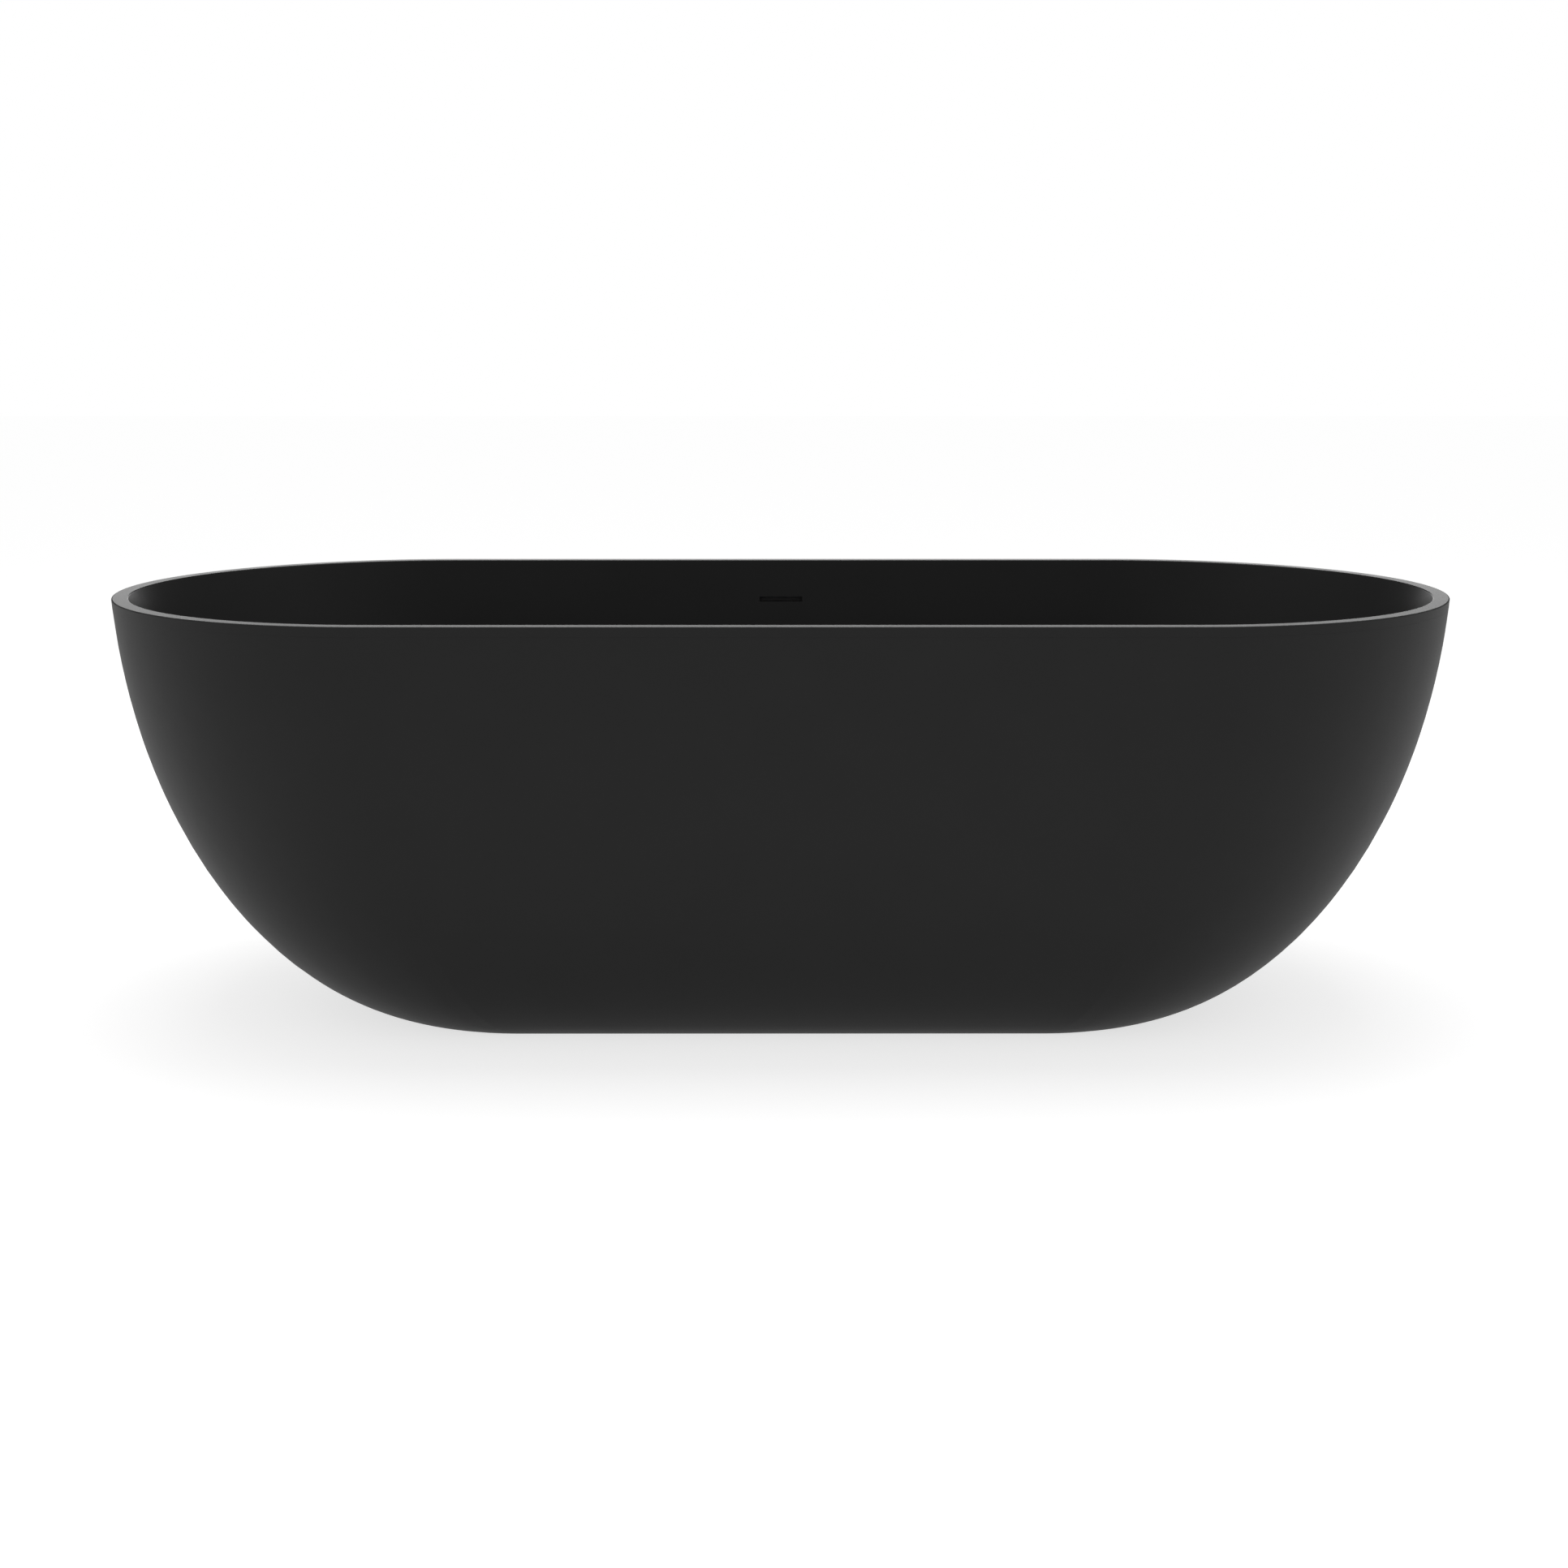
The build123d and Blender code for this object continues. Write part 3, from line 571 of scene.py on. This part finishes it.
def drawn_stainless_steel(name, streak, roughness):
    """Stainless strip or wire, drawn through a die: fine bright streaks along its length."""
    material, tree, place = new_material(name)
    stretched = add_node(
        tree, "ShaderNodeVectorMath", {0: place, 1: streak}, operation="DIVIDE"
    )
    lines = add_node(
        tree, "ShaderNodeTexNoise", {"Vector": stretched.outputs[0], "Scale": 1.0, "Detail": 2.0}
    )
    gloss = add_node(
        tree,
        "ShaderNodeMapRange",
        {
            "Value": lines.outputs["Fac"],
            "From Min": 0.3,
            "From Max": 0.7,
            "To Min": roughness - 0.08,
            "To Max": roughness + 0.08,
        },
    )
    bump = add_node(
        tree,
        "ShaderNodeBump",
        {"Height": lines.outputs["Fac"], "Strength": 0.3, "Distance": 0.03 * MM},
    )
    shader = add_node(
        tree,
        "ShaderNodeBsdfPrincipled",
        {
            "Base Color": clouded(tree, place, 10 * MM, "#c4c4c3", "#d0d0ce"),
            "Metallic": 1.0,
            "Roughness": gloss.outputs["Result"],
            "Normal": bump.outputs["Normal"],
        },
    )
    finish_material(tree, shader)
    return material


def moulded_rubber(name, dark, light, groove_pitch=0.0):
    """Black rubber pressed in a mould: dull and slightly grainy, with a faint grey bloom.

    A sole has round grooves for grip on its underside.
    """
    material, tree, place = new_material(name)
    gloss, grain = speckled(tree, place, 0.8 * MM, 0.72, 0.86)
    skin = add_node(
        tree, "ShaderNodeBump", {"Height": grain, "Strength": 0.4, "Distance": 0.08 * MM}
    ).outputs["Normal"]
    if groove_pitch:
        radius, _, _ = from_upright_axis(tree, place, foot_x, foot_y)
        grooves = add_node(
            tree,
            "ShaderNodeMapRange",
            {"Value": waves(tree, radius, groove_pitch), "From Min": 0.1, "From Max": 0.4},
        )
        skin = add_node(
            tree,
            "ShaderNodeBump",
            {"Height": grooves.outputs["Result"], "Distance": 0.8 * MM, "Normal": skin},
        ).outputs["Normal"]
    shader = add_node(
        tree,
        "ShaderNodeBsdfPrincipled",
        {
            "Base Color": clouded(tree, place, 15 * MM, dark, light),
            "Roughness": gloss,
            "IOR": 1.52,
            "Normal": skin,
        },
    )
    finish_material(tree, shader)
    return material


def moulded_plastic(name, dark, light, roughness, ior, texture):
    """Injection-moulded plastic: an even colour with the fine texture of its tool."""
    material, tree, place = new_material(name)
    gloss, grain = speckled(tree, place, texture, roughness - 0.05, roughness + 0.05)
    bump = add_node(
        tree, "ShaderNodeBump", {"Height": grain, "Strength": 0.35, "Distance": 0.08 * texture}
    )
    shader = add_node(
        tree,
        "ShaderNodeBsdfPrincipled",
        {
            "Base Color": clouded(tree, place, 40 * MM, dark, light),
            "Roughness": gloss,
            "IOR": ior,
            "Normal": bump.outputs["Normal"],
        },
    )
    finish_material(tree, shader)
    return material


def way_along_hose(tree, place):
    """How far along the hose a point is, counted from the bath's middle.

    It adds up the level stretch, the bend and the stretch that leans up the wall.
    """
    parts = add_node(tree, "ShaderNodeSeparateXYZ", {0: place})
    level_run = add_node(
        tree,
        "ShaderNodeClamp",
        {"Value": parts.outputs["Y"], "Min": hose_foot.y, "Max": bend_start_y},
    )
    beyond = add_node(
        tree, "ShaderNodeMath", {0: parts.outputs["Y"], 1: bend_start_y}, operation="SUBTRACT"
    )
    below = add_node(
        tree,
        "ShaderNodeMath",
        {0: hose_level + HOSE_BEND, 1: parts.outputs["Z"]},
        operation="SUBTRACT",
    )
    swing = add_node(
        tree, "ShaderNodeMath", {0: beyond.outputs[0], 1: below.outputs[0]}, operation="ARCTAN2"
    )
    turned = add_node(
        tree, "ShaderNodeClamp", {"Value": swing.outputs[0], "Min": 0.0, "Max": hose_turn}
    )
    to_bend_end = add_node(
        tree, "ShaderNodeVectorMath", {0: place, 1: bend_end}, operation="SUBTRACT"
    )
    climbed = add_node(
        tree,
        "ShaderNodeVectorMath",
        {0: to_bend_end.outputs[0], 1: up_the_wall},
        operation="DOT_PRODUCT",
    )
    leaning_run = add_node(
        tree, "ShaderNodeMath", {0: climbed.outputs["Value"], 1: 0.0}, operation="MAXIMUM"
    )
    bent_run = add_node(
        tree,
        "ShaderNodeMath",
        {0: turned.outputs[0], 1: HOSE_BEND, 2: level_run.outputs[0]},
        operation="MULTIPLY_ADD",
    )
    return add_node(
        tree,
        "ShaderNodeMath",
        {0: bent_run.outputs[0], 1: leaning_run.outputs[0]},
        operation="ADD",
    ).outputs[0]


def ribbed_pvc():
    """Flexible PVC hose: grey, half glossy, with a rib wound round it every 4 mm.

    The ends are plain where they go over the spigots.
    """
    material, tree, place = new_material("ribbed_flexible_pvc")
    along = way_along_hose(tree, place)
    hose_end = bend_start_y + HOSE_BEND * hose_turn + (hose_top - bend_end).length
    ribbed = zone(tree, along, hose_foot.y + HOSE_CUFF, hose_end - HOSE_CUFF, RIB_PITCH)
    ribs = add_node(
        tree,
        "ShaderNodeMath",
        {0: waves(tree, along, RIB_PITCH), 1: ribbed},
        operation="MULTIPLY",
    )
    bump = add_node(tree, "ShaderNodeBump", {"Height": ribs.outputs[0], "Distance": RIB_DEPTH})
    gloss, _ = speckled(tree, place, 2 * MM, 0.34, 0.44)
    shade = add_node(
        tree,
        "ShaderNodeMix",
        {
            "Factor_Float": ribs.outputs[0],
            "A_Color": clouded(tree, place, 50 * MM, "#9b9da0", "#a3a5a7"),
            "B_Color": linear("#b9babc"),
        },
        data_type="RGBA",
    )
    shader = add_node(
        tree,
        "ShaderNodeBsdfPrincipled",
        {
            "Base Color": shade.outputs[MIXED_COLOUR],
            "Roughness": gloss,
            "IOR": 1.53,
            "Normal": bump.outputs["Normal"],
        },
    )
    finish_material(tree, shader)
    return material


# ---- Stage -----------------------------------------------------------------------------------

CAMERA_PLACE = (0.0012, -2.8112, 0.8673)
CAMERA_DOWN = radians(11.77)
CAMERA_ASIDE = radians(-0.0615)
FLOOR_REACH = 20
WHITE = (1, 1, 1, 1)
FLOOR_GLOW = 0.70
FILL_LEVEL = 0.50
CEILING_AT_FRONT = 0.42
CEILING_AT_BACK = 0.12
BACKDROP_TOP = 0.132
BACKDROP_EDGE = 0.016


def sight_rays(tree):
    """1 for the camera's own rays, and 1 for the rays that mirrors and glass send on."""
    path = add_node(tree, "ShaderNodeLightPath")
    mirrored = add_node(
        tree,
        "ShaderNodeMath",
        {0: path.outputs["Is Glossy Ray"], 1: path.outputs["Is Transmission Ray"]},
        operation="MAXIMUM",
    )
    return path.outputs["Is Camera Ray"], mirrored.outputs[0]


def pale_floor():
    """Studio floor: white to the camera and in reflections, with the bath's shadow."""
    material, tree, _ = new_material("studio_floor")
    camera, mirrored = sight_rays(tree)
    seen = add_node(tree, "ShaderNodeMath", {0: camera, 1: mirrored}, operation="MAXIMUM")
    unseen = add_node(tree, "ShaderNodeBsdfDiffuse", {"Color": linear("#c0c0c0")})
    shadowed = add_node(tree, "ShaderNodeBsdfDiffuse", {"Color": linear("#c8c8c8")})
    glow = add_node(tree, "ShaderNodeEmission", {"Color": WHITE, "Strength": FLOOR_GLOW})
    white = add_node(tree, "ShaderNodeAddShader", {0: shadowed.outputs[0], 1: glow.outputs[0]})
    pick = add_node(
        tree,
        "ShaderNodeMixShader",
        {0: seen.outputs[0], 1: unseen.outputs[0], 2: white.outputs[0]},
    )
    finish_material(tree, pick)
    return material


def make_camera():
    """A 50 mm lens at the near side, a little above the rim."""
    data = bpy.data.cameras.new("camera")
    data.lens = 50
    data.sensor_width = 36
    camera = bpy.data.objects.new("camera", data)
    camera.location = CAMERA_PLACE
    camera.rotation_euler = (pi / 2 - CAMERA_DOWN, 0, CAMERA_ASIDE)
    bpy.context.scene.collection.objects.link(camera)
    bpy.context.scene.camera = camera


def make_floor():
    """A square of floor that reaches past the horizon on every side."""
    mesh = bpy.data.meshes.new("floor")
    turns = ((-1, -1), (1, -1), (1, 1), (-1, 1))
    corners = [(x * FLOOR_REACH, y * FLOOR_REACH, 0) for x, y in turns]
    mesh.from_pydata(corners, [], [(0, 1, 2, 3)])
    floor = bpy.data.objects.new("floor", mesh)
    floor.data.materials.append(pale_floor())
    bpy.context.scene.collection.objects.link(floor)


def make_world():
    """A plain studio, white all round, whose ceiling is darker towards the back.

    The camera sees only the white. Reflections see the white backdrop up to its top edge, a
    little above the horizon, and the ceiling above that. What a matt surface scatters comes
    from an even fill.
    """
    world = bpy.data.worlds.new("studio")
    bpy.context.scene.world = world
    world.use_nodes = True
    tree = world.node_tree
    tree.nodes.clear()
    away = add_node(tree, "ShaderNodeTexCoord").outputs["Generated"]
    parts = add_node(tree, "ShaderNodeSeparateXYZ", {0: away})
    ceiling = add_node(
        tree,
        "ShaderNodeMapRange",
        {
            "Value": parts.outputs["Y"],
            "From Min": -0.2,
            "From Max": 0.8,
            "To Min": CEILING_AT_FRONT,
            "To Max": CEILING_AT_BACK,
        },
    )
    above_backdrop = add_node(
        tree,
        "ShaderNodeMapRange",
        {
            "Value": parts.outputs["Z"],
            "From Min": BACKDROP_TOP,
            "From Max": BACKDROP_TOP + BACKDROP_EDGE,
        },
        interpolation_type="SMOOTHSTEP",
    )
    level = add_node(
        tree,
        "ShaderNodeMix",
        {
            "Factor_Float": above_backdrop.outputs["Result"],
            "A_Float": 1.0,
            "B_Float": ceiling.outputs["Result"],
        },
        data_type="FLOAT",
    )
    camera, mirrored = sight_rays(tree)
    fill = add_node(tree, "ShaderNodeBackground", {"Color": WHITE, "Strength": FILL_LEVEL})
    reflected = add_node(
        tree,
        "ShaderNodeBackground",
        {"Color": WHITE, "Strength": level.outputs[MIXED_NUMBER]},
    )
    seen = add_node(tree, "ShaderNodeBackground", {"Color": WHITE, "Strength": 1.0})
    lit = add_node(
        tree,
        "ShaderNodeMixShader",
        {0: mirrored, 1: fill.outputs[0], 2: reflected.outputs[0]},
    )
    pick = add_node(
        tree, "ShaderNodeMixShader", {0: camera, 1: lit.outputs[0], 2: seen.outputs[0]}
    )
    add_node(tree, "ShaderNodeOutputWorld", {"Surface": pick.outputs[0]})


def make_softbox(name, place, aim, width, height, power):
    """A soft area lamp that faces a point, with its power in watts."""
    data = bpy.data.lights.new(name, "AREA")
    data.shape = "RECTANGLE"
    data.size = width
    data.size_y = height
    data.energy = power
    lamp = bpy.data.objects.new(name, data)
    lamp.location = place
    lamp.rotation_euler = (Vector(aim) - Vector(place)).to_track_quat("-Z", "Y").to_euler()
    bpy.context.scene.collection.objects.link(lamp)


# ---- Clip bolts ------------------------------------------------------------------------------

ROUND = 24  # points round a turned shape
SCREW_RADIUS = 1.25 * MM
HEAD_RADIUS = 2.25 * MM
HEAD_HEIGHT = 2.5 * MM
SOCKET_KEY = 2 * MM
SOCKET_DEPTH = 1.3 * MM
NUT_ACROSS_FLATS = 4.6 * MM
NUT_THICKNESS = 2 * MM
SCREW_PAST_NUT = 1.2 * MM
CLIP_EAR_PLACE = 13.4 * MM
CLIP_EAR_OUTSIDE = 1.65 * MM


def round_ring(radius, height):
    """Points on a circle."""
    return [
        (radius * cos(2 * pi * i / ROUND), radius * sin(2 * pi * i / ROUND), height)
        for i in range(ROUND)
    ]


def hexagon_ring(across_flats, height):
    """Points on a hexagon, at the same angles as a round ring's."""
    ring = []
    for i in range(ROUND):
        angle = 2 * pi * i / ROUND
        to_middle_of_flat = (angle % (pi / 3)) - pi / 6
        radius = across_flats / 2 / cos(to_middle_of_flat)
        ring.append((radius * cos(angle), radius * sin(angle), height))
    return ring


def skin_rings(made, rings):
    """Join rings of points, one after another, and close both ends."""
    loops = [[made.verts.new(point) for point in ring] for ring in rings]
    for first, second in zip(loops, loops[1:]):
        for i in range(ROUND):
            j = (i + 1) % ROUND
            made.faces.new((first[i], first[j], second[j], second[i]))
    made.faces.new(loops[0][::-1])
    made.faces.new(loops[-1])


def clip_bolt(name, clip_middle, along_hose, finish):
    """A socket screw with its hexagon nut, which pulls the two ears of a hose clip together."""
    made = bmesh.new()
    head_low = CLIP_EAR_OUTSIDE
    head_high = head_low + HEAD_HEIGHT
    nut_high = -CLIP_EAR_OUTSIDE
    nut_low = nut_high - NUT_THICKNESS
    screw_end = nut_low - SCREW_PAST_NUT
    skin_rings(
        made,
        [
            round_ring(SCREW_RADIUS - 0.35 * MM, screw_end),
            round_ring(SCREW_RADIUS, screw_end + 0.35 * MM),
            round_ring(SCREW_RADIUS, head_low),
            round_ring(HEAD_RADIUS - 0.05 * MM, head_low),
            round_ring(HEAD_RADIUS, head_low + 0.1 * MM),
            round_ring(HEAD_RADIUS, head_high - 0.3 * MM),
            round_ring(HEAD_RADIUS - 0.3 * MM, head_high),
            hexagon_ring(SOCKET_KEY + 0.3 * MM, head_high),
            hexagon_ring(SOCKET_KEY, head_high - 0.15 * MM),
            hexagon_ring(SOCKET_KEY, head_high - SOCKET_DEPTH),
        ],
    )
    skin_rings(
        made,
        [
            round_ring(SCREW_RADIUS, nut_low),
            round_ring(NUT_ACROSS_FLATS / 2 - 0.2 * MM, nut_low),
            hexagon_ring(NUT_ACROSS_FLATS, nut_low + 0.25 * MM),
            hexagon_ring(NUT_ACROSS_FLATS, nut_high - 0.1 * MM),
            round_ring(NUT_ACROSS_FLATS / 2 - 0.1 * MM, nut_high),
        ],
    )
    bmesh.ops.recalc_face_normals(made, faces=made.faces)
    mesh = bpy.data.meshes.new(name)
    made.to_mesh(mesh)
    made.free()
    across = Vector((1, 0, 0))
    through_ears = along_hose.cross(across)
    turn = Matrix((across, along_hose, -through_ears)).transposed().to_4x4()
    mesh.transform(Matrix.Translation(clip_middle + across * CLIP_EAR_PLACE) @ turn)
    mesh.materials.append(finish)
    bolt = bpy.data.objects.new(name, mesh)
    bpy.context.scene.collection.objects.link(bolt)
    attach(bolt, "bath")


# ---- The scene -------------------------------------------------------------------------------

bpy.context.scene.view_settings.view_transform = "Standard"
make_camera()
make_floor()
make_world()
make_softbox(
    "top_softbox", place=(0, 0.3, 3.2), aim=(0, 0, 0.4), width=3.0, height=2.0, power=50
)

clip_stainless = drawn_stainless_steel(
    "drawn_stainless_strip", (8 * MM, 0.4 * MM, 0.4 * MM), 0.30
)
finishes = {
    "shell": cast_stone("cast_stone_resin_shell", sides_of_shell),
    "basin": cast_stone("cast_stone_resin_basin", sides_of_basin),
    "gasket_rubber": moulded_rubber("moulded_epdm_rubber", "#19191a", "#252527"),
    "sole_rubber": moulded_rubber("moulded_grooved_rubber", "#161616", "#222223", 3 * MM),
    "hood_plastic": moulded_plastic(
        "moulded_abs_black", "#141415", "#1a1a1b", 0.42, 1.54, 0.9 * MM
    ),
    "hose_plastic": ribbed_pvc(),
    "banjo_plastic": moulded_plastic(
        "moulded_polypropylene_white", "#d9d9d5", "#e3e3df", 0.38, 1.49, 1.6 * MM
    ),
    "nut_plastic": moulded_plastic(
        "moulded_acetal_white", "#d4d4d2", "#dededc", 0.32, 1.48, 1.2 * MM
    ),
    "screw_steel": turned_metal("turned_stainless_steel_screw", "#c6c6c5", "#d2d2d0", 0.28),
    "clip_steel": clip_stainless,
    "spring_steel": drawn_stainless_steel(
        "drawn_stainless_wire", (3 * MM, 3 * MM, 0.3 * MM), 0.26
    ),
    "waste_black": black_coated_brass("black_coated_brass_threaded", recess_level),
    "cap_black": black_coated_brass("black_coated_brass", flange_low.z),
    "cartridge_brass": turned_metal("turned_brass", "#d6b87f", "#e0c592", 0.26),
    "stem_steel": turned_metal("turned_stainless_steel", "#c3c3c2", "#cfcfcd", 0.22),
    "insert_brass": turned_metal(
        "turned_brass_insert", "#d6b87f", "#e0c592", 0.32, foot_x, foot_y
    ),
    "nut_steel": zinc_plated_steel("zinc_plated_steel", False),
    "stud_steel": zinc_plated_steel("zinc_plated_steel_threaded", True),
    "pad_plastic": moulded_plastic(
        "moulded_nylon_black", "#1c1c1c", "#262626", 0.48, 1.53, 1.4 * MM
    ),
}
for part in frame["record"]["subparts"]:
    for material_slot in frame["nodes"][part["node"]].material_slots:
        material_slot.material = finishes[part["material_slot"]]

clip_bolt(
    "clip_bolt_upper", hose_top - up_the_wall * CLIP_FROM_END, -up_the_wall, clip_stainless
)
clip_bolt(
    "clip_bolt_lower", hose_foot + Vector((0, CLIP_FROM_END, 0)), Vector((0, 1, 0)), clip_stainless
)
